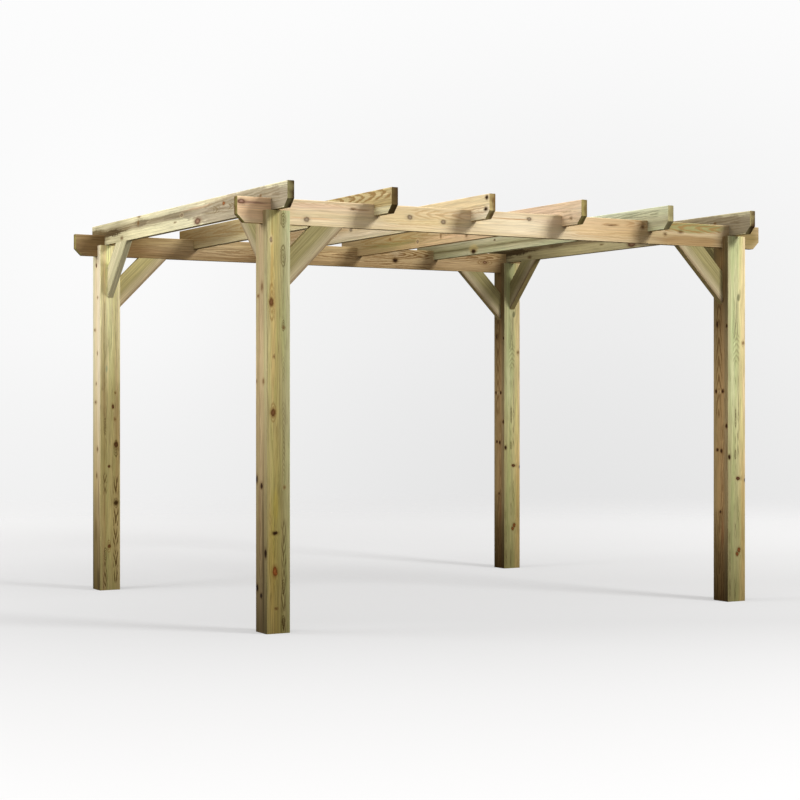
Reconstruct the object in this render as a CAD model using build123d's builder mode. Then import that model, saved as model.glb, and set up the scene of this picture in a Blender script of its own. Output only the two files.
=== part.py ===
from build123d import *
import os

# Free-standing timber pergola: four square posts, two beams let into the post tops,
# six rafters notched over the beams, and eight mitred knee braces.
# Millimetres, +Z up. The origin is on the ground in the middle of the footprint.
# +X runs along the beams, +Y runs back along the rafters.

# overall size
beam_length = 3600
rafter_length = 3000
overhang = 150

# timber sections
post_size = 140
board_height = 140
board_thickness = 40
post_arris = 5
board_arris = 3

# heights and joints
post_height = 2275
slot_depth = 70
notch_depth = 65
tail_cut = 45
brace_reach = 350
rafter_count = 6

# derived levels and positions
post_x = beam_length / 2 - overhang - post_size / 2
post_y = rafter_length / 2 - overhang - post_size / 2
beam_bottom = post_height - slot_depth
beam_top = beam_bottom + board_height
rafter_bottom = beam_top - notch_depth
rafter_middle = rafter_bottom + board_height / 2
rafter_spacing = 2 * post_x / (rafter_count - 1)

os.makedirs("parts", exist_ok=True)


def tail_cut_outlines(half_length, bottom):
    # sloping cuts that take the lower corner off both ends of a board,
    # drawn on the board's broad face and run a little past its edges
    spare = 10
    with BuildLine() as outline:
        Polyline(
            (-half_length - spare, bottom + tail_cut + spare),
            (-half_length + tail_cut + spare, bottom - spare),
            (-half_length - spare, bottom - spare),
            close=True,
        )
    make_face(outline.edges())
    mirror(about=Plane.YZ)


def make_post(x, y):
    # planed square post with a central slot across its top, between two tongues
    with BuildPart() as post:
        with BuildSketch(Plane((x, y, 0))):
            RectangleRounded(post_size, post_size, post_arris)
        extrude(amount=post_height)
        with BuildSketch(Plane((x, y, beam_bottom))):
            Rectangle(2 * post_size, board_thickness)
        extrude(amount=2 * slot_depth, mode=Mode.SUBTRACT)
    return post


def make_beam(y):
    # board on edge, dropped into the post slots, with both tails cut on the slope
    with BuildPart() as beam:
        with BuildSketch(Plane.YZ):
            with Locations((y, beam_bottom + board_height / 2)):
                RectangleRounded(board_thickness, board_height, board_arris)
        extrude(amount=beam_length / 2, both=True)
        with BuildSketch(Plane.XZ.offset(-y)):
            tail_cut_outlines(beam_length / 2, beam_bottom)
        extrude(amount=board_thickness, both=True, mode=Mode.SUBTRACT)
    return beam


def make_rafter(x):
    # board on edge with a square notch over each beam and sloping tail cuts
    with BuildPart() as rafter:
        with BuildSketch(Plane.XZ):
            with Locations((x, rafter_middle)):
                RectangleRounded(board_thickness, board_height, board_arris)
        extrude(amount=rafter_length / 2, both=True)
        with BuildSketch(Plane.YZ.offset(x)):
            tail_cut_outlines(rafter_length / 2, rafter_bottom)
            with Locations((-post_y, beam_top), (post_y, beam_top)):
                Rectangle(board_thickness, 2 * notch_depth, align=(Align.CENTER, Align.MAX))
        extrude(amount=board_thickness, both=True, mode=Mode.SUBTRACT)
    return rafter


def make_brace(x, y, dx, dy, top):
    # short board at 45 degrees, mitred flat against the post's inner face
    # and against the underside of the timber above it
    heel = Vector(x + dx * post_size / 2, y + dy * post_size / 2, top)
    inward = Vector(-dx, -dy, 1).normalized()
    along = Vector(dx, dy, 1).normalized()
    lower_edge = heel + Vector(dx, dy, -1) * (brace_reach / 2)
    middle = lower_edge + inward * (board_height / 2)
    with BuildPart() as brace:
        with BuildSketch(Plane(origin=middle, x_dir=inward, z_dir=along)):
            RectangleRounded(board_height, board_thickness, board_arris)
        extrude(amount=brace_reach, both=True)
        split(bisect_by=Plane(origin=heel, z_dir=(dx, dy, 0)), keep=Keep.TOP)
        split(bisect_by=Plane(origin=heel, z_dir=(0, 0, -1)), keep=Keep.TOP)
    return brace


# corners of the footprint, with the side of each that faces inward
corners = {
    "front_left": (-1, -1),
    "front_right": (1, -1),
    "back_left": (-1, 1),
    "back_right": (1, 1),
}

# posts
for name, (side_x, side_y) in corners.items():
    post = make_post(side_x * post_x, side_y * post_y)
    post.part.label = f"post_{name}"
    export_step(post.part, f"parts/{post.part.label}.step")

# beams, one along the front pair of posts and one along the back pair
for name, side_y in (("front", -1), ("back", 1)):
    beam = make_beam(side_y * post_y)
    beam.part.label = f"beam_{name}"
    export_step(beam.part, f"parts/{beam.part.label}.step")

# rafters, evenly spaced from the left posts to the right posts
for number in range(rafter_count):
    rafter = make_rafter(-post_x + number * rafter_spacing)
    rafter.part.label = f"rafter_{number + 1}"
    export_step(rafter.part, f"parts/{rafter.part.label}.step")

# knee braces, two at each post: one up to the beam and one up to the end rafter
for name, (side_x, side_y) in corners.items():
    brace = make_brace(side_x * post_x, side_y * post_y, -side_x, 0, beam_bottom)
    brace.part.label = f"brace_{name}_to_beam"
    export_step(brace.part, f"parts/{brace.part.label}.step")

    brace = make_brace(side_x * post_x, side_y * post_y, 0, -side_y, rafter_bottom)
    brace.part.label = f"brace_{name}_to_rafter"
    export_step(brace.part, f"parts/{brace.part.label}.step")
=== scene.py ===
import math

import bmesh
import bpy
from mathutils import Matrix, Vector

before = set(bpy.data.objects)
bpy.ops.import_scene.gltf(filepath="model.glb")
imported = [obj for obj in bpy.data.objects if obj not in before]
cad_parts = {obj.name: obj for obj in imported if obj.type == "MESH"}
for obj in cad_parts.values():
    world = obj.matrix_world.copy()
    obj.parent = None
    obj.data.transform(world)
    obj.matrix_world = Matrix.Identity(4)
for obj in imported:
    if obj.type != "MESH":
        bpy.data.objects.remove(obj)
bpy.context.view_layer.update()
scene = bpy.context.scene
scene.view_settings.view_transform = "Standard"

# A timber pergola of pressure-treated softwood. X runs along the beams, Y back along the
# rafters and Z up, in metres. The faces of the timbers are painted in millimetres, with u
# along the timber and v across the face.
MM = 1000.0
X, Y, Z = (1, 0, 0), (0, 1, 0), (0, 0, 1)
FORWARD, DOWN = (0, -1, 0), (0, 0, -1)
DIAGONAL = math.sqrt(0.5)


# ------------------------------------------------------- sizes, from the frame
def corners(node):
    """Lowest and highest corner of a timber, in metres."""
    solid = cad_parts[node]
    points = [solid.matrix_world @ v.co for v in solid.data.vertices]
    return ([round(min(p[i] for p in points), 4) for i in range(3)],
            [round(max(p[i] for p in points), 4) for i in range(3)])


def middle(node):
    """Middle of a timber's box, in metres."""
    low, high = corners(node)
    return [round((a + b) / 2, 4) for a, b in zip(low, high)]


def extent(node):
    """Size of a timber's box, in millimetres."""
    low, high = corners(node)
    return [round((b - a) * MM, 1) for a, b in zip(low, high)]


POST_WIDTH, _, POST_LENGTH = extent("post_front_left")
BEAM_LENGTH, BOARD_THICKNESS, BOARD_WIDTH = extent("beam_front")
RAFTER_LENGTH = extent("rafter_1")[1]
BRACE_LENGTH = round(extent("brace_front_left_to_beam")[2] * math.sqrt(2))

# ------------------------------------------------------------------ camera
PICTURE_WIDTH = 800         # pixels
FOCAL_LENGTH = 1808.2       # pixels
SENSOR_WIDTH = 36.0         # millimetres
TURN = 0.51504              # radians to the right of straight back
EYE = (-5.7965, -10.1239, 1.2548)

camera = bpy.data.cameras.new("view")
camera.sensor_width = SENSOR_WIDTH
camera.lens = SENSOR_WIDTH * FOCAL_LENGTH / PICTURE_WIDTH
camera.clip_start = 0.05
camera.clip_end = 400.0
eye = bpy.data.objects.new("view", camera)
eye.location = EYE
eye.rotation_euler = (math.pi / 2, 0.0, -TURN)
scene.collection.objects.link(eye)
scene.camera = eye


# --------------------------------------------------------- colours and tables
def rgb(code, alpha=1.0):
    """Linear colour from a six-figure sRGB code."""
    out = []
    for i in (0, 2, 4):
        c = int(code[i:i + 2], 16) / 255
        out.append(c / 12.92 if c <= 0.04045 else ((c + 0.055) / 1.055) ** 2.4)
    return tuple(out) + (alpha,)


def grey(x):
    return (x, x, x, 1.0)


def shade(level, warm):
    """A tone to multiply by: warm above 0 takes green and blue out, below 0 adds them."""
    return (level, level * (1 - 0.3 * warm), level * (1 - warm), 1.0)


def table(text):
    """Rows of a small table: rows part at ';' and cells at blanks. Figures become numbers,
    except colour codes and kinds of knot."""
    return [[cell if len(cell) == 6 or cell.isalpha() else float(cell) for cell in row.split()]
            for row in text.split(";") if row.strip()]


# ------------------------------------------------------------- node building
class Val:
    """An output socket, with arithmetic that adds Math nodes."""

    def __init__(self, net, socket):
        self.net, self.socket = net, socket

    def __add__(self, o):
        return self.net.math("ADD", self, o)

    def __radd__(self, o):
        return self.net.math("ADD", o, self)

    def __sub__(self, o):
        return self.net.math("SUBTRACT", self, o)

    def __rsub__(self, o):
        return self.net.math("SUBTRACT", o, self)

    def __mul__(self, o):
        return self.net.math("MULTIPLY", self, o)

    def __truediv__(self, o):
        return self.net.math("MULTIPLY", self, 1.0 / o)


class Net:
    """Adds nodes to a node tree and links them up."""

    def __init__(self, tree):
        self.tree = tree

    def node(self, kind, ins=None, out=0, **props):
        n = self.tree.nodes.new(kind)
        for k, v in props.items():
            setattr(n, k, v)
        for k, v in (ins or {}).items():
            if isinstance(v, Val):
                self.tree.links.new(v.socket, n.inputs[k])
            else:
                n.inputs[k].default_value = v
        return Val(self, n.outputs[out])

    def math(self, op, *args):
        return self.node("ShaderNodeMath", dict(enumerate(args)), operation=op)

    def vec(self, op, *args, out=0):
        return self.node("ShaderNodeVectorMath", dict(enumerate(args)), out, operation=op)

    def dot(self, a, b):
        return self.vec("DOT_PRODUCT", a, b, out="Value")

    def join(self, x, y, z):
        return self.node("ShaderNodeCombineXYZ", {0: x, 1: y, 2: z})

    def split(self, v):
        n = self.tree.nodes.new("ShaderNodeSeparateXYZ")
        self.tree.links.new(v.socket, n.inputs[0])
        return [Val(self, o) for o in n.outputs]

    def coordinate(self, kind):
        return self.node("ShaderNodeTexCoord", out=kind)

    def noise(self, v, detail=2.0, rough=0.5, colour=False):
        return self.node("ShaderNodeTexNoise",
                         {"Vector": v, "Scale": 1.0, "Detail": detail, "Roughness": rough},
                         "Color" if colour else "Fac")

    def grain(self, u, v, size, seed, detail, rough, colour=False):
        """Noise whose lumps have the given size along and across, in millimetres."""
        return self.noise(self.join(u / size[0], v / size[1], seed), detail, rough, colour)

    def step(self, x, a, b, lo=0.0, hi=1.0):
        """Smooth change from lo to hi as x goes from a to b."""
        return self.node("ShaderNodeMapRange", {0: x, 1: a, 2: b, 3: lo, 4: hi},
                         interpolation_type="SMOOTHSTEP")

    def stripe(self, phase, start, crest, fall):
        """A stripe in each unit of phase, rising from start to crest and ending after fall."""
        t = self.math("FRACT", phase)
        return self.step(t, start, crest) * self.step(t, 1.0, fall)

    def oval(self, place, u, v, half_length, half_width):
        """Distance from the middle of an oval, in its own radii."""
        d = self.vec("MULTIPLY_ADD", place, (1 / half_length, 1 / half_width, 0),
                     (-u / half_length, -v / half_width, 0))
        return self.vec("LENGTH", d, out="Value")

    def pick(self, f, a, b):
        """Number a where f is 0 and b where f is 1."""
        return self.node("ShaderNodeMix", {0: f, 2: a, 3: b}, data_type="FLOAT")

    def blend(self, f, a, b, mode="MIX"):
        """Colour a where f is 0 and b where f is 1."""
        return self.node("ShaderNodeMix", {0: f, 6: a, 7: b}, 2, data_type="RGBA", blend_type=mode)

    def times(self, a, b):
        """Product of two colours."""
        return self.blend(1.0, a, b, "MULTIPLY")

    def scale(self, c, f):
        """Colour c times the number f."""
        return self.node("ShaderNodeVectorMath", {0: c, "Scale": f}, operation="SCALE")

    def ramp(self, x, stops, alpha=False):
        """Colour from (place, colour) stops, and its alpha too where asked for."""
        n = self.tree.nodes.new("ShaderNodeValToRGB")
        elements = n.color_ramp.elements
        while len(elements) < len(stops):
            elements.new(1.0)
        for e, (p, c) in zip(elements, stops):
            e.position = p
            e.color = c
        self.tree.links.new(x.socket, n.inputs[0])
        if alpha:
            return Val(self, n.outputs[0]), Val(self, n.outputs[1])
        return Val(self, n.outputs[0])

    def greys(self, x, stops):
        return self.ramp(x, [(p, grey(c)) for p, c in stops])

    def surface(self, shader, kind="ShaderNodeOutputMaterial"):
        """Add the output node and give it the shader."""
        self.tree.links.new(shader.socket, self.tree.nodes.new(kind).inputs[0])

    def seen_directly(self):
        """1 for rays from the camera, a mirror or a pane, 0 for those that only carry light."""
        path = self.tree.nodes.new("ShaderNodeLightPath")
        rays = [Val(self, path.outputs["Is %s Ray" % kind])
                for kind in ("Camera", "Glossy", "Transmission")]
        return self.math("MAXIMUM", rays[0], self.math("MAXIMUM", rays[1], rays[2]))


def clear_nodes(owner):
    """Empty node net of a material or a world."""
    owner.use_nodes = True
    owner.node_tree.nodes.clear()
    return Net(owner.node_tree)


# ------------------------------------------------------------- wood patterns
# Kinds of knot: dark, red, orange, grey-ringed, purple-brown and soft brown. Each has a
# factor on its size, and its rings from the middle out: distance in radii, colour and cover.
KNOTS = {kind: (spread, table(rings)) for kind, spread, rings in (
    ("d", 1.15, "0 2a180a 1;.6 2e1b0c .98;.95 432a13 .85;1.25 5a4022 .4;2.1 7a5c34 0"),
    ("r", 1.0, "0 6e4430 .95;.4 5c3424 .95;.85 43200f .97;1.1 5c3a20 .7;"
               "1.5 8c6a3c .25;2.3 a98c58 0"),
    ("o", 1.1, "0 a2653a .9;.45 8f4f26 .95;.85 6a3816 .95;1.1 7c5528 .5;1.9 8c6a3a 0"),
    ("g", 1.25, "0 a39278 .9;.35 8a765c .9;.75 66523e .85;.98 8c7352 .55;"
                "1.3 c4ae84 .4;2.2 c8b088 0"),
    ("p", 1.0, "0 a07c64 .9;.4 86624c .92;.8 583828 .95;1.05 74523a .65;"
               "1.5 8f6f50 .25;2.3 a98c68 0"),
    ("s", 1.1, "0 6b4c2c .85;.7 71522f .75;1.2 806138 .4;2.2 957850 0"),
)}
KNOT_REACH = 2.5            # radii
EYE_RING = 0.17             # radii between the rings of an eye

# eyes, plain and faint: thin dark rings with bare wood between them
for kind, code, cover in (("e", "50401f", 0.75), ("f", "7d5a2c", 0.55)):
    rings = [(EYE_RING * i, code, cover if i % 2 else 0.0) for i in range(7)]
    KNOTS[kind] = (1.0, rings + [(1.25, code, 0.0)])

# size of each unevenness of the wood along and across the grain, in millimetres
WANDER, JAG, BAND, RIPPLE = (210, 55), (16, 12), (420, 9), (45, 28)
FIBRE, TINT, THREAD, GAP = (150, 2.8), (340, 26), (260, 3.6), (170, 13)
JAG_REACH = (13, 11, 0)     # how far the outline of a knot strays
SWAY = 26                   # how far marks stray along the grain

LATEWOOD_PERIOD = 8.2       # millimetres
LATEWOOD = (0.45, 0.86, 0.9)            # where each line starts, is darkest and ends
ARC = (0.3, 0.66, 0.86)                 # likewise for cathedral arcs
ROW_BORDER = (1.35, 0.85)   # half widths from the centre line, where arcs end and are full
FADE_OUT, FADE_IN = 18, 12  # millimetres outside and inside the ends of a stretch of arcs
USUAL_SOFTNESS = 0.4        # of the border of a patch
USUAL_ROUNDNESS = 0.03      # of the tips of arcs
GREEN_TINT = (0.84, 0.97, 0.80, 1.0)

PATTERNS = {}


def knot_fields(net, u, v, knots, seed):
    """Distance to the nearest knot of each kind, in radii."""
    jag = net.grain(u, v, JAG, seed + 2.0, 2.0, 0.6, colour=True)
    jag = net.vec("SUBTRACT", jag, (0.5, 0.5, 0.5))
    place = net.vec("MULTIPLY_ADD", jag, JAG_REACH, net.join(u, v, 0.0))
    fields = {}
    for knot_u, knot_v, half_length, half_width, kind in table(knots):
        spread = KNOTS[kind][0]
        d = net.oval(place, knot_u, knot_v, half_length * spread, half_width * spread)
        fields[kind] = d if kind not in fields else net.math("MINIMUM", fields[kind], d)
    return fields


def paint_patches(net, c, u, v, patches, frayed):
    """Broad patches and streaks of colour with frayed edges."""
    warped = net.join(u, v, 0.0)
    for patch_u, patch_v, half_length, half_width, code, cover, *soft in table(patches):
        soft = soft[0] if soft else USUAL_SOFTNESS
        d = net.oval(warped, patch_u, patch_v, half_length, half_width)
        d = d + frayed * min(1.0, 24 / half_width)
        c = net.blend(net.step(d, 1 + soft * 0.8, 1 - soft * 1.2, 0.0, cover), c, rgb(code))
    return c


def cathedrals(net, u, v, rows, length, wander, ripple):
    """Nested arcs along the centre line of each row, and their cover."""
    for row in rows.split("|"):
        if not row.strip():
            continue
        head, spans = [table(part) for part in row.split(":")]
        centre, half, period, bend, cover, soft = (head[0] + [USUAL_ROUNDNESS])[:6]
        x = (v - centre) / half
        bow = net.math("SQRT", x * x + soft) * abs(bend)
        phase = bow + u / (-period if bend > 0 else period)
        phase = phase + (wander - 0.5) * 1.2 + (ripple - 0.5) * 0.8
        arc = net.stripe(phase, *ARC)
        stops = [(0.0, 0.0)]
        for start, stop, strength in spans:
            stops += [(max(start - FADE_OUT, 1) / length, 0.0),
                      ((start + FADE_IN) / length, strength),
                      ((stop - FADE_IN) / length, strength),
                      (min(stop + FADE_OUT, length - 1) / length, 0.0)]
        mask = net.node("ShaderNodeSeparateColor", {0: net.greys(u / length, stops)})
        yield arc * (mask * net.step(net.math("ABSOLUTE", x), *ROW_BORDER)), cover


def pattern(name, across, length=POST_LENGTH, patches="", rows="", knots="", line="6b5230",
            lines=0.2, fibre=0.34, streak=0.42, seed=0.0, wave=9.0, green=0.5, threads=0.4,
            ragged=0.3):
    """Node group that paints one long face from u along it and v across it.

    across   place and colour; ...
    patches  u, v, half length, half width, colour, cover and softness; ...
    rows     centre, half width, period, bend, cover and softness of a row of cathedral
             arcs : start, end and strength of each stretch; ... | the next row
    knots    u, v, half length, half width and kind; ...
    line is the colour of the latewood, lines its strength. fibre, streak, green, threads
    and ragged are strengths, and wave is the wander of the grain in millimetres."""
    tree = bpy.data.node_groups.new(name, "ShaderNodeTree")
    for s in ("u", "v"):
        tree.interface.new_socket(s, in_out="INPUT", socket_type="NodeSocketFloat")
    tree.interface.new_socket("colour", in_out="OUTPUT", socket_type="NodeSocketColor")
    tree.interface.new_socket("height", in_out="OUTPUT", socket_type="NodeSocketFloat")
    net = Net(tree)
    ins = tree.nodes.new("NodeGroupInput")
    outs = tree.nodes.new("NodeGroupOutput")
    u, v = Val(net, ins.outputs[0]), Val(net, ins.outputs[1])

    # slow wander of the grain
    wx, wy, wz = net.split(net.grain(u, v, WANDER, seed, 3.0, 0.55, colour=True))
    v1 = v + (wx - 0.5) * wave * 2
    u1 = u + (wy - 0.5) * SWAY
    band = net.grain(u, v1, BAND, seed + 3.1, 3.0, 0.65)
    ripple = net.grain(u, v, RIPPLE, seed + 6.4, 2.0, 0.6)
    fine = net.grain(u, v1, FIBRE, seed + 7.7, 3.0, 0.65)

    # tones across the face, then patches
    c = net.ramp(v1 / BOARD_WIDTH, [(p / BOARD_WIDTH, rgb(code)) for p, code in table(across)])
    frayed = (band - 0.5) * (ragged * 1.6) + (ripple - 0.5) * ragged
    c = paint_patches(net, c, u1, v1, patches, frayed)

    # streaks and fibres run with the grain, some of them greener
    c = net.scale(c, 1.0 + (band - 0.5) * (streak * 2.2) + (fine - 0.5) * (fibre * 2.2))
    tint = net.grain(u, v1, TINT, seed + 5.3, 1.0, 0.5)
    c = net.blend(net.step(tint, 0.35, 0.7, 0.0, green), c, net.times(c, GREEN_TINT))

    # thin dark threads
    thread = net.grain(u, v1, THREAD, seed + 9.2, 2.0, 0.55)
    c = net.blend(net.step(thread, 0.55, 0.72) * threads, c, rgb(line))

    # broken latewood lines, bowed round the knots
    fields = knot_fields(net, u, v, knots, seed)
    phase = v1 / LATEWOOD_PERIOD + (band - 0.5) * 2.4 + wz * 1.6
    nearest = None
    for d in fields.values():
        nearest = d if nearest is None else net.math("MINIMUM", nearest, d)
    if nearest is not None:
        phase = phase + net.math("DIVIDE", 2.6, nearest + 0.8)
    ring = net.stripe(phase, *LATEWOOD)
    broken = net.step(net.grain(u, v1, GAP, seed + 11.0, 2.0, 0.5), 0.36, 0.66)
    c = net.blend(ring * (broken * lines * 2.0 + lines * 0.5), c, rgb(line))

    dark = ring * 0.5
    for arc, cover in cathedrals(net, u1, v1, rows, length, wz, ripple):
        c = net.blend(arc * cover, c, rgb(line))
        dark = dark + arc

    # the knots themselves
    for kind, d in fields.items():
        stops = [(p / KNOT_REACH, rgb(code, cover)) for p, code, cover in KNOTS[kind][1]]
        mark, cover = net.ramp(d / KNOT_REACH, stops, alpha=True)
        c = net.blend(cover, c, net.scale(mark, 0.75 + fine * 0.5))

    height = (fine - 0.5) * 0.8 + (band - 0.5) * 0.6 - dark * 0.35
    tree.links.new(c.socket, outs.inputs[0])
    tree.links.new(height.socket, outs.inputs[1])
    PATTERNS[name] = tree


# front left post, front and back: ochre streaks, arcs and tight ringed eyes
pattern("post_1_front",
        across="0 b0a474;32 b8a870;58 a89860;100 a0986c;140 b4b088",
        patches="690 55 90 14 b2a04c .5;1700 36 500 16 c4a468 .45;2000 30 240 8 b98a48 .35;"
                "400 30 320 20 b0983f .35",
        rows="100 12 90 1.0 .85:0 80 1;125 335 .8;355 600 .8|"
             "100 9 30 -1.0 .4 .1:850 1240 .8;1350 1500 .6|97 4 300 .8 .6:1690 1960 1;600 840 .3|"
             "20 8 60 1 .4:520 700 .7",
        knots="335 48 24 12 o;322 56 10 6 o;135 55 6 8 s;540 50 8 12 d;1187 38 19 12 r;"
              "1488 42 8 5 s;1780 27 22 11 r;1780 30 110 20 f;1187 38 56 20 f;2115 26 12 6 g;"
              "1645 100 8 6 s;785 105 8 6 s;2030 97 66 17 e;2222 98 44 17 e;1655 99 34 11 e;"
              "60 98 40 12 e;250 98 44 10 e",
        line="59482a", seed=1.0)
# front left post, left and right: a brown streak at the foot and small knots
pattern("post_1_left",
        across="0 b8a078;22 b0a074;62 c0a880;116 b0a074;140 b8ac80",
        patches="400 95 420 14 5f5036 .7;1500 44 500 10 9c7f5a .5;1200 18 300 8 a08660 .5;"
                "900 93 220 9 8a7454 .5;1650 120 500 16 b9b483 .5;600 50 260 14 a48560 .4",
        rows="60 24 160 1.2 .35:300 800 .8;900 1300 .6;1500 1800 .5",
        knots="200 70 11 10 d;240 20 15 11 d;432 125 18 12 d;793 75 13 12 d;825 15 17 10 d;"
              "1355 98 13 10 s;1355 12 9 7 s;1817 32 7 12 s;1865 80 20 12 s",
        line="6d5738", lines=0.14, green=0.15, seed=2.0, wave=7.0)
# back left post, front and back: two rows of arcs low down and long ringed eyes
pattern("post_2_front",
        across="0 bcb084;32 a8966c;50 b8b080;88 b8ac7c;106 b0a074;140 c4b88c",
        patches="950 122 420 14 b09068 .5;1650 60 420 30 c9bd90 .4;1460 45 22 7 7f9078 .5",
        rows="35 12 62 1.1 .85:20 140 1;155 205 .9;640 690 1;700 765 1|"
             "108 17 105 1.0 .9:55 125 1;148 255 1;295 405 1;412 530 1;640 745 1|"
             "30 4 400 .8 .6:1150 1900 1;400 640 .6",
        knots="290 64 10 8 r;290 60 46 16 f;575 110 11 12 d;817 62 8 7 r;960 110 16 12 r;"
              "1128 102 9 6 s;1213 88 14 7 r;1303 105 7 5 s;1080 34 62 9 e;575 110 36 17 e;"
              "935 110 60 18 e;240 36 46 12 e",
        line="5c492a", seed=3.0)
# back left post, left and right: pale, with small knots
pattern("post_2_left",
        across="20 ccc4a0;60 e0cca0;110 e4d4b4;140 dcd0a8",
        patches="60 108 90 22 5f5034 .5;400 60 90 16 7a6440 .4;600 108 120 16 7a6440 .35;"
                "300 10 700 10 8d8a66 .5",
        rows="60 26 200 1.4 .2:300 1100 .6",
        knots="755 75 14 9 s;930 88 13 11 s;1240 55 8 14 s;1362 65 9 8 s;1718 40 8 13 s;"
              "1563 88 10 7 s;1932 90 7 9 s;2145 68 12 10 r",
        line="8c744c", lines=0.1, green=0.15, seed=4.0, wave=6.0)
# right posts, front and back: short arcs and a grey-green blemish near the head
pattern("post_3_front",
        across="0 b0a880;36 c0c090;80 c8c494;106 dccc94;140 dcc498",
        patches="1890 86 26 13 6a6c4c .8 .3;1915 98 34 4 86845c .7 .3;900 18 120 10 9c9c70 .3;"
                "1500 40 400 24 cdd0a0 .5;500 118 400 12 d4a566 .35",
        rows="16 5 55 .9 .75:40 130 1;190 320 .9;370 430 .8|"
             "60 6 70 .9 .75:0 140 .8;400 480 .9;900 960 .9;990 1030 .8;1090 1200 1;"
             "1340 1400 .8;1470 1510 .8|"
             "82 7 75 1 .75:500 650 .8;910 970 .9;1010 1060 .9;1120 1180 .9|"
             "68 22 34 -1.3 .35 .2:1490 1660 1|62 20 260 1.8 .6:1640 1880 1|"
             "84 6 160 1 .6:1210 1400 .9",
        knots="296 74 12 9 o;320 88 14 10 o;766 82 10 14 r;1610 122 9 8 s;755 138 9 6 d;"
              "900 12 12 8 d;1140 62 60 7 e;915 60 30 8 e",
        line="5f5534", seed=5.0)
# right posts, left and right: dark, with small dark knots
pattern("post_3_left",
        across="0 786848;40 887048;90 90744c;120 786848",
        patches="425 90 90 12 8a5c38 .5;1305 58 14 16 c0a678 .8",
        rows="55 26 115 -1.5 .65 .1:1150 1850 1|60 40 300 2 .5:0 560 1|90 16 160 1.2 .5:500 1100 1",
        knots="557 70 8 8 d;943 40 8 9 d;937 78 12 9 d;1308 28 10 9 d;1310 92 11 10 d;"
              "1093 128 12 9 d;1728 38 18 7 d;1715 130 9 7 d;1880 88 12 8 d",
        line="4a3218", lines=0.25, streak=0.2, green=0.15, seed=6.0, wave=6.0)
# front beam: straw, with an olive length towards the right end
pattern("beam_front",
        across="0 d8c094;40 e4c8a0;80 e0c898;110 e8d0a4;140 dcc494",
        patches="110 60 180 80 d4ac80 .8;80 32 110 7 8e6a56 .8;500 30 190 16 e6bf98 .5;"
                "740 36 70 5 9c7048 .6;1130 60 280 60 e3c990 .6;1740 70 260 60 efdcb4 .7;"
                "1740 38 130 4 b98654 .7;2420 60 300 80 e3bd86 .7;3060 26 280 34 a4a062 .85 .25;"
                "3060 112 280 40 b4905e .9;3480 70 130 90 98844e .8;440 100 150 7 dcae7c .5",
        rows="18 12 70 1 .4:320 720 .6|40 24 90 1.6 .4 .3:1090 1420 1|38 4 500 .8 .7:1600 1870 1|"
             "36 9 90 1 .6:2390 2510 1|24 22 90 -1.6 .5 .3:2570 2730 1|"
             "30 26 110 1.8 .7 .3:2800 3290 1|100 22 300 1.6 .35:900 1400 .8;2100 2700 .8",
        knots="24 28 22 12 p;413 107 15 12 g;697 36 12 5 s;1062 62 15 11 g;1281 78 14 11 g;"
              "1865 33 13 9 g;2455 40 28 4 s;2690 40 10 9 s;2980 57 14 9 s;2860 75 10 8 s",
        length=BEAM_LENGTH, line="b0824a", lines=0.12, fibre=0.26, green=0.1, threads=0.12,
        seed=8.0)
# back beam: browner, with broad arcs
pattern("beam_back",
        across="0 b09464;50 bca070;90 b49468;140 a4885c",
        patches="200 60 260 90 8e6e44 .7;1060 60 240 60 d0b484 .7;1940 60 260 60 cbae7c .6;"
                "2420 70 300 80 d3b684 .8;2420 30 60 26 e2cba0 .7;3060 70 280 80 c8a878 .6;"
                "3500 70 120 90 9a7c50 .5;1060 118 220 7 8a6c44 .6",
        rows="34 28 110 -2.4 .85 .3:2440 2700 1|34 26 150 -2.4 .75 .3:2840 3300 1|"
             "75 28 300 1.8 .5:880 1300 1;300 820 .8|60 26 260 1.6 .6:1760 2100 1;2150 2440 .8|"
             "112 20 500 1.5 .6:2150 2700 1",
        knots="2407 80 17 13 d;3172 68 17 10 p;2412 44 230 32 f;3172 68 70 24 f",
        length=BEAM_LENGTH, line="7a552c", lines=0.24, streak=0.55, green=0.1, threads=0.3,
        seed=9.0)
# end rafters: a dark mottled band behind, grey-green lower down in front
pattern("rafter_a",
        across="0 e4dcb4;20 dcd4b0;46 a89c7c;62 a09478;88 e0d8b0",
        patches="330 72 250 26 58482f 1 .25;60 58 220 34 6e5c3c .9;260 100 90 14 9a8c68 .7;"
                "880 46 120 26 7c7058 .9 .3;620 62 120 8 8c7c5c .7;1150 46 150 10 8e8266 .7;"
                "1480 52 260 20 8c8066 .85 .3;1690 70 120 22 a0937a .8 .3;1000 18 300 12 ece4bc .5;"
                "2440 84 700 86 ada085 1 .1;2440 60 600 20 a0927a .5;2100 14 420 12 cbb893 .5;"
                "1800 35 230 8 c9a27c .5;2350 124 260 8 9f927a .6;2000 70 160 6 877a64 .6;"
                "2200 96 120 5 8a7c66 .6",
        rows="70 18 46 -1.1 .75 .1:2030 2110 1;2240 2345 1|60 36 300 2 .5:1900 2900 1|"
             "60 22 400 1.6 .4:200 1700 .8",
        knots="860 5 24 6 s;846 44 12 12 s;555 118 18 9 s;1450 93 16 4 s;1555 58 15 7 g;"
              "1795 115 42 17 p;2172 45 15 9 o;2665 52 10 7 s",
        length=RAFTER_LENGTH, line="7d6c4c", lines=0.12, green=0.1, wave=5.0, ragged=1.3, seed=10.0)
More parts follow.
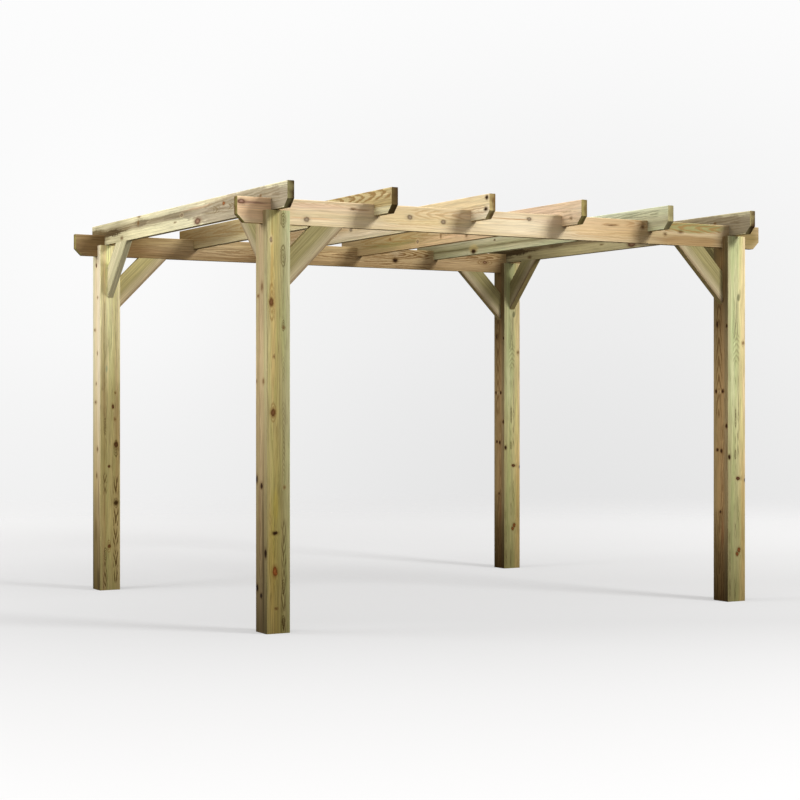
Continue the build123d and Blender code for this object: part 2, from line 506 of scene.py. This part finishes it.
# second rafter: warm straw, duller behind
pattern("rafter_b",
        across="0 c8a868;30 ccac70;84 b49458;110 d4b87c;140 d8c088",
        patches="500 60 600 90 9c8458 .8;1700 60 500 90 c4a468 .4;2620 115 420 20 e0c88e .7",
        rows="24 30 125 -1.1 .85 .12:2150 3000 1|90 8 700 1.4 .8:2000 2900 1|"
             "60 36 400 1.8 .45:100 1900 1",
        knots="1100 60 12 9 s;1650 95 10 8 r",
        length=RAFTER_LENGTH, line="8f6632", lines=0.2, green=0.1, wave=5.0, seed=11.0)
# third rafter: pale straw
pattern("rafter_c",
        across="0 dcc08c;60 e0c490;110 e8d0a4;140 e0cc9c",
        patches="500 60 600 90 c4a070 .5;1400 40 400 30 e0b88c .4",
        rows="86 24 500 2 .6 .2:2100 2950 1|50 26 300 1.6 .4:400 1900 1",
        knots="2972 20 13 9 d;2962 84 14 9 d;1335 70 16 10 g;720 40 9 7 s",
        length=RAFTER_LENGTH, line="a67c46", lines=0.16, threads=0.2, green=0.1, wave=5.0,
        seed=12.0)
# fourth rafter: olive behind, pinker in front
pattern("rafter_d",
        across="0 d4b48c;60 dcc098;90 d4b48c;140 d0b488",
        patches="700 60 700 90 8f8056 .8;750 92 360 18 7f7c4c .6;2500 60 420 60 dcb894 .4",
        rows="60 32 260 1.6 .5:300 1700 1|70 26 320 -1.5 .4:2100 2900 1",
        knots="720 55 12 9 s;1100 100 12 9 g;1405 85 9 14 s;1725 110 11 8 s;2895 100 11 7 s",
        length=RAFTER_LENGTH, line="8a6a3c", lines=0.18, threads=0.25, green=0.2, wave=5.0,
        seed=13.0)
# fifth rafter: grey-green, with one dark line
pattern("rafter_e",
        across="0 c0c09c;50 b0a884;80 a49c74;94 887c58;110 b0a880;140 c0bc94",
        patches="795 100 60 30 c0a86a .7;2700 60 400 60 b8b490 .5",
        rows="95 6 700 1 .6:200 1800 1|40 20 300 1.5 .5:2000 2900 1",
        knots="795 118 24 12 d;1070 60 10 4 d;2300 70 10 8 s",
        length=RAFTER_LENGTH, line="5f5a3a", lines=0.14, green=0.3, wave=5.0, seed=14.0)
# braces: grey-green, with brown bands
pattern("brace",
        across="0 98885c;34 b8a47c;60 887458;88 a8987c;96 b4a888;140 8c845c",
        patches="250 88 300 3 bdb28c .5;440 15 60 18 7a5c3c .6;250 56 400 8 7b6848 .5 .6;"
                "460 30 50 40 9a7c54 .5",
        rows="60 20 120 2.2 .4:0 500 1",
        knots="460 15 13 9 s;20 20 10 8 s",
        length=500, line="6a5c3a", lines=0.14, seed=15.0, wave=4.0, green=0.0, threads=0.2)
# the brace painted pale: a lit copy of the brace, as painted light
pattern("brace_painted_lit",
        across="0 d0c8a4;30 d8d4ac;60 c8c49c;140 d0c8a4",
        rows="60 20 120 2.2 .4:0 500 1",
        length=500, line="8f8760", lines=0.2, seed=16.0, wave=4.0, green=0.1)


# ----------------------------------------------------------- timber materials
UNDERSIDE_PAINTED_SHADE = (0.62, 0.50, 0.36, 1.0)     # painted shade: undersides are darker and browner
EDGE_GAP = 12               # millimetres from a face's border to where its edges carry on
RING_PERIOD = 4.6           # millimetres between the rings of cut ends
END_RING = (0.4, 0.85, 0.9)             # where each of them starts, is darkest and ends
END_RING_COLOUR, CHECK_COLOUR = rgb("3a2c18"), rgb("20180e")
HEART = (0.9, 0.35)         # widths and depths from the middle of the end to its heart
# where the paler arrises, worn and with a painted highlight, start and are full
WEAR_AND_HIGHLIGHT_START, WEAR_AND_HIGHLIGHT_FULL = 7, 1            # millimetres from an arris
BUMP_STRENGTH, BUMP_DEPTH = 0.35, 0.0012


def cut_end(net, a, b, u, wobble, wide, deep, pale, dark, seed):
    """Colour and height of end grain: rings about a far-off heart, and a few radial checks."""
    heart_a = a + wide * HEART[0]
    heart_b = b + deep * HEART[1]
    distance = net.math("SQRT", heart_a * heart_a + heart_b * heart_b)
    ring = net.stripe(distance / RING_PERIOD + wobble * 1.6, *END_RING)
    speck = net.noise(net.join(a / 2.2, b / 2.2, u / 30), 2.0, 0.6)
    patch = net.noise(net.join(a / 60, b / 60, 4.0 + seed), 1.0, 0.5)
    # pale to dark across the end, darker towards one side: partly the wood's own colour, partly
    # painted shade
    c = net.blend(net.step(patch + (b / deep) * 0.5, 0.3, 0.7), rgb(pale), rgb(dark))
    c = net.blend(ring * 0.4, c, END_RING_COLOUR)
    c = net.scale(c, 0.8 + speck * 0.4)
    angle = net.math("ARCTAN2", heart_b, heart_a)
    check = net.noise(net.join(angle * 26, distance / 90, 2.0 + seed), 1.0, 0.5)
    c = net.blend(net.step(check, 0.64, 0.72) * 0.6, c, CHECK_COLOUR)
    return c, speck * 0.8 - ring * 0.4


def painted(net, name, u, v, place, tone, length):
    """Colour and height of a pattern at u and v, toned by the place along the timber."""
    group = net.tree.nodes.new("ShaderNodeGroup")
    group.node_tree = PATTERNS[name]
    net.tree.links.new(u.socket, group.inputs[0])
    net.tree.links.new(v.socket, group.inputs[1])
    c = Val(net, group.outputs[0])
    if tone:
        stops = [(p / length, shade(level, warm)) for p, level, warm in table(tone)]
        c = net.times(c, net.ramp(place / length, stops))
    return c, Val(net, group.outputs[1])


def timber(name, origin, along, first, second, length, wide, deep, face_a, face_b=None,
           end="6f6844", end_dark_and_shade="4a3f26", painted_light=1.0, painted_edge_light=1.0, tone_a="", tone_b="",
           arris=0.12, seed=0.0):
    """Material of one timber. along, first and second are its own axes from origin. face_a
    paints the faces at the ends of second, and face_b those at the ends of first. Without
    face_b these carry on from the border of face_a, times a factor of painted light."""
    mat = bpy.data.materials.new(name)
    net = clear_nodes(mat)
    pos = net.vec("SUBTRACT", net.coordinate("Object"), tuple(origin))
    normal = net.coordinate("Normal")
    u, a, b = [net.dot(pos, tuple(c * MM for c in axis)) for axis in (along, first, second)]
    nu, na, nb = [net.dot(normal, axis) for axis in (along, first, second)]
    side = net.math("GREATER_THAN", net.math("ABSOLUTE", na), net.math("ABSOLUTE", nb))
    far_a, far_b = [net.math("GREATER_THAN", n, 0.0) for n in (na, nb)]

    # the pattern is turned end for end on the far side
    ua = net.pick(far_b, u, length - u)
    va = a + wide / 2
    if face_b:
        colour, height = painted(net, face_a, ua, va, u, tone_a, length)
        ub = net.pick(far_a, u, length - u)
        colour_b, height_b = painted(net, face_b, ub, deep / 2 - b, u, tone_b, length)
        colour = net.blend(side, colour, colour_b)
        height = net.pick(side, height, height_b)
    else:
        vb = net.pick(far_a, (b + deep / 2) * -1.0 - EDGE_GAP, b + deep / 2 + wide + EDGE_GAP)
        colour, height = painted(net, face_a, net.pick(side, ua, u), net.pick(side, va, vb),
                                 u, tone_a, length)
        # painted light on the narrow faces
        colour = net.scale(colour, net.pick(side, 1.0, painted_edge_light))
    # painted shade: faces turned down are made darker and browner
    below = net.step(net.dot(normal, DOWN), 0.8, 0.95)
    colour = net.blend(below, colour, net.times(colour, UNDERSIDE_PAINTED_SHADE))

    mottle = net.noise(net.join(a / 22, b / 22, u / 60), 2.0, 0.5)
    end_colour, end_height = cut_end(net, a, b, u, mottle, wide, deep, end, end_dark_and_shade, seed)
    is_end = net.step(net.math("ABSOLUTE", nu), 0.42, 0.6)
    colour = net.blend(is_end, colour, end_colour)

    # eased arrises are paler, partly worn and partly a painted highlight; then the whole timber is
    # scaled by its painted light
    near_a, near_b = [net.step(net.math("ABSOLUTE", place),
                               size / 2 - WEAR_AND_HIGHLIGHT_START, size / 2 - WEAR_AND_HIGHLIGHT_FULL)
                      for place, size in ((a, wide), (b, deep))]
    worn_and_highlight = near_a * near_b * (0.6 + mottle * 0.8)
    colour = net.scale(colour, (1.0 + worn_and_highlight * arris) * painted_light)

    bump = net.node("ShaderNodeBump", {"Strength": BUMP_STRENGTH, "Distance": BUMP_DEPTH,
                                       "Height": net.pick(is_end, height, end_height)})
    wood = net.node("ShaderNodeBsdfPrincipled",
                    {"Base Color": colour, "Specular IOR Level": 0.03, "Normal": bump,
                     "Roughness": net.pick(is_end, 0.72 - height * 0.12, 0.9)})
    net.surface(wood)
    return mat


def dress(node, mat):
    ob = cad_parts[node]
    if not ob.material_slots:
        ob.data.materials.append(mat)
    for s in ob.material_slots:
        s.material = mat


# Tones along the timbers: place, level and warmth; ... They are partly the wood's own tone
# and partly painted light and shade. The posts are painted darker and greener towards the ground,
# partly as painted shade.
POSTS = {
    "post_front_left": ("post_1_front", "0 .55 .25;600 .85 .1;1200 1.05 -.05;2275 1.35 -.2",
                        "post_1_left", "0 .2 .2;600 .65 .05;1500 1.25 -.1;1850 1 -.1"),
    # painted light: the back left post's front gets lighter towards the head
    "post_back_left": ("post_2_front", "0 .65 .2;500 1 .2;1300 1.05 .1;1900 2.05 -.2",
                       "post_2_left", "0 .15 .5;350 .3 .4;700 .6 .25;1500 .9 -.1"),
    # painted shade: the right posts' left faces darken again at the head, under the roof
    "post_front_right": ("post_3_front", "0 .4 .25;900 .85 .05;1300 1 -.05;2275 1 -.1",
                         "post_3_left", "0 .25 .3;300 .7 0;600 1.7 -.15;1400 2.1 -.2;1850 1.2 -.2"),
    "post_back_right": ("post_3_front", "0 .4 .3;900 .85 .15;1400 .9 0;2275 .75 0",
                        "post_3_left",
                        "0 .2 .4;300 .55 .1;600 1.4 -.15;1400 1.75 -.2;1850 .8 -.05"),
}
for node, (front, front_tone, left, left_tone) in POSTS.items():
    x, y, _ = middle(node)
    dress(node, timber(node, (x, y, 0), Z, X, Y, POST_LENGTH, POST_WIDTH, POST_WIDTH,
                       front, left, tone_a=front_tone, tone_b=left_tone, arris=0.10))

# painted light lifts the front beam at its left end, and painted shade darkens the back beam near
# its left end
BEAMS = {
    "beam_front": "0 1.3 -.3;300 1 -.25;1600 .95 -.2;2300 .85 -.3;2750 .6 0;3000 .7 -.2;3600 .6 0",
    "beam_back": "0 .85 -.3;450 .65 0;750 1 -.3;1300 .85 -.15;2000 .95 -.2;"
                 "2450 .75 -.15;2900 .85 -.25;3400 .7 -.1",
}
for node, tone in BEAMS.items():
    _, y, z = middle(node)
    dress(node, timber(node, (corners(node)[0][0], y, z), X, DOWN, Y,
                       BEAM_LENGTH, BOARD_WIDTH, BOARD_THICKNESS, node,
                       end="8f8850", end_dark_and_shade="6a5230", tone_a=tone, arris=0.25))

# each rafter's pattern, the two colours of its cut ends, the darker partly painted shade,
# and its tone from back to front, darker behind partly as painted shade
RAFTERS = (
    ("rafter_a", "918a60", "44341f",
     "0 .75 0;500 .6 .05;750 .9 0;1600 .9 -.1;2000 1.1 -.1;3000 1.05 -.1"),
    ("rafter_b", "675634", "54422a", "0 .3 .2;800 .8 -.5;1300 1.05 -.6;3000 1.1 -.75"),
    ("rafter_c", "cbb880", "7a5f3a", "0 .65 -.1;600 .65 -.3;2400 1.2 -.35;3000 1.25 -.5"),
    ("rafter_d", "a3955f", "7c6c42", "0 .5 .1;900 1.45 0;2400 1.3 -.3;3000 1.3 -.4"),
    ("rafter_e", "aaa277", "908863", "0 .55 .1;1000 1.4 -.2;2600 1.55 -.25"),
    ("rafter_a", "938860", "4a3822", "0 .25 .1;600 .4 .25;1200 .8 .2;3000 .9 -.05"),
)
for i, (face, end, end_dark_and_shade, tone) in enumerate(RAFTERS):
    node = "rafter_%d" % (i + 1)
    x, _, z = middle(node)
    dress(node, timber(node, (x, corners(node)[1][1], z), FORWARD, DOWN, X,
                       RAFTER_LENGTH, BOARD_WIDTH, BOARD_THICKNESS, face,
                       end=end, end_dark_and_shade=end_dark_and_shade, tone_a=tone, arris=0.2, seed=float(i)))

# Brightness of each corner's brace to the beam and brace to the rafter, as painted light that
# stands in for the light each one gets, and the pattern of the latter. Braces are laid out from
# their lower edge, so they start in the middle of the pattern.
BRACES = {
    "front_left": (1.05, 1.0, "brace"),
    "front_right": (0.95, 0.8, "brace"),
    "back_left": (1.8, 0.8, "brace_painted_lit"),
    "back_right": (0.9, 0.75, "brace"),
}


def dress_brace(node, mat_name, axis, face, painted_light):
    """axis is 0 for a brace to a beam, which leans along X, and 1 for one to a rafter."""
    low, high = corners(node)
    foot = middle(node)
    inward = 1 if foot[axis] < 0 else -1
    foot[axis] = low[axis] if inward > 0 else high[axis]
    foot[2] = low[2]
    up, across = [0, 0, DIAGONAL], [0, 0, DIAGONAL]
    up[axis], across[axis] = inward * DIAGONAL, -inward * DIAGONAL
    # the braces' narrow faces get painted light, 1.5 times brighter
    dress(node, timber(mat_name, foot, up, across, Y if axis == 0 else X,
                       BRACE_LENGTH, BOARD_WIDTH, BOARD_THICKNESS, face,
                       painted_light=painted_light, painted_edge_light=1.5, arris=0.15))


for corner, (beam_painted_light, rafter_painted_light, rafter_face) in BRACES.items():
    dress_brace("brace_%s_to_beam" % corner, "brace_x_" + corner, 0, "brace", beam_painted_light)
    dress_brace("brace_%s_to_rafter" % corner, "brace_y_" + corner, 1, rafter_face, rafter_painted_light)


# ------------------------------------------------------------------- lights
def lamp(name, place, target, size, power, colour):
    data = bpy.data.lights.new(name, "AREA")
    data.shape = "DISK"
    data.size = size
    data.energy = power
    data.color = colour
    ob = bpy.data.objects.new(name, data)
    ob.location = place
    ob.rotation_euler = (Vector(target) - Vector(place)).to_track_quat("-Z", "Y").to_euler()
    ob.visible_camera = False
    scene.collection.objects.link(ob)


lamp("key", place=(4.6, -8.4, 7.4), target=(0.2, -0.6, 1.6), size=3.2, power=980,
     colour=(1.0, 0.99, 0.96))
lamp("left", place=(-5.5, 1.2, 3.7), target=(-1.0, 0.2, 1.7), size=3.0, power=190,
     colour=(1.0, 0.99, 0.97))

# ------------------------------------------------------------------ backdrop
# A pale sweep: greys from straight down to straight up, darker low in the middle, and
# lighter in a spot on the left: a painted pool of light.
SWEEP = ((0.0, 0.97), (0.24, 0.97), (0.36, 0.9), (0.43, 0.875), (0.54, 0.93), (0.76, 0.975),
         (1.0, 0.98))


def heading(turn, rise):
    """Direction turned from that of the view by an angle in radians, and raised."""
    return (math.sin(TURN + turn), math.cos(TURN + turn), rise)


world = bpy.data.worlds.new("studio")
scene.world = world
net = clear_nodes(world)
direction = net.coordinate("Generated")
_, _, dz = net.split(direction)
sky = net.greys(dz * 1.25 + 0.5, SWEEP)
near = net.step(net.vec("DISTANCE", direction, heading(0.09, -0.03), out="Value"), 0.3, 0.0)
# painted pool of light on the backdrop, up on the left
painted_light_spot = net.step(net.vec("DISTANCE", direction, heading(-0.155, 0.08), out="Value"), 0.12, 0.0)
sky = net.scale(sky, 1.0 - near * 0.11 + painted_light_spot * 0.03)
seen = net.node("ShaderNodeBackground", {0: sky, 1: 1.0})
fill = net.ramp(dz, [(0.0, (0.54, 0.475, 0.42, 1.0)), (0.9, (1.0, 0.96, 0.92, 1.0))])
light = net.node("ShaderNodeBackground", {0: fill, 1: 1.0})
net.surface(net.node("ShaderNodeMixShader", {0: net.seen_directly(), 1: light, 2: seen}),
            "ShaderNodeOutputWorld")

# -------------------------------------------------------------------- floor
FLOOR_RADIUS = 90
FLOOR_NEAR, FLOOR_SPAN = -8, 24     # where the tones along the view start, and their reach
FLOOR_LIGHT = (0.985, 1.17)         # factors along the line of view and at the sides
FLOOR_SIDES = (0.5, 5.0)            # metres from that line
MELT = (5.0, 13.0)                  # metres from the middle, where the floor fades out
# glow of the floor along the view, from near to far: place and grey. Its dip round the pergola is
# painted shade.
GLOW_WITH_PAINTED_SHADE = ((-8, 0.80), (-6, 0.725), (-4, 0.595), (-2.2, 0.46), (-1.4, 0.395), (0.8, 0.385),
        (3.5, 0.48), (7, 0.55))

mesh = bpy.data.meshes.new("floor")
bm = bmesh.new()
bmesh.ops.create_circle(bm, cap_ends=True, radius=FLOOR_RADIUS, segments=128)
bm.to_mesh(mesh)
bm.free()
floor = bpy.data.objects.new("floor", mesh)
scene.collection.objects.link(floor)
mat = bpy.data.materials.new("floor")
net = clear_nodes(mat)
pos = net.coordinate("Object")
away = net.dot(pos, heading(0.0, 0.0))
beside = net.math("ABSOLUTE", net.dot(pos, heading(math.pi / 2, 0.0)) + 0.3)
glow = net.greys((away - FLOOR_NEAR) / FLOOR_SPAN,
                 [((p - FLOOR_NEAR) / FLOOR_SPAN, c) for p, c in GLOW_WITH_PAINTED_SHADE])
glow = net.scale(glow, net.step(beside, *FLOOR_SIDES, *FLOOR_LIGHT))
glowing = net.node("ShaderNodeEmission", {0: glow, 1: 1.0})
shaded = net.node("ShaderNodeBsdfDiffuse", {0: (0.238, 0.243, 0.252, 1.0), 1: 1.0})
both = net.node("ShaderNodeAddShader", {0: glowing, 1: shaded})
dull = net.node("ShaderNodeBsdfDiffuse", {0: grey(0.12), 1: 1.0})
# far out the floor melts into the sweep behind it
radius = net.vec("LENGTH", pos, out="Value")
clear = net.node("ShaderNodeBsdfTransparent")
both = net.node("ShaderNodeMixShader", {0: net.step(radius, *MELT), 1: both, 2: clear})
net.surface(net.node("ShaderNodeMixShader", {0: net.seen_directly(), 1: dull, 2: both}))
mesh.materials.append(mat)
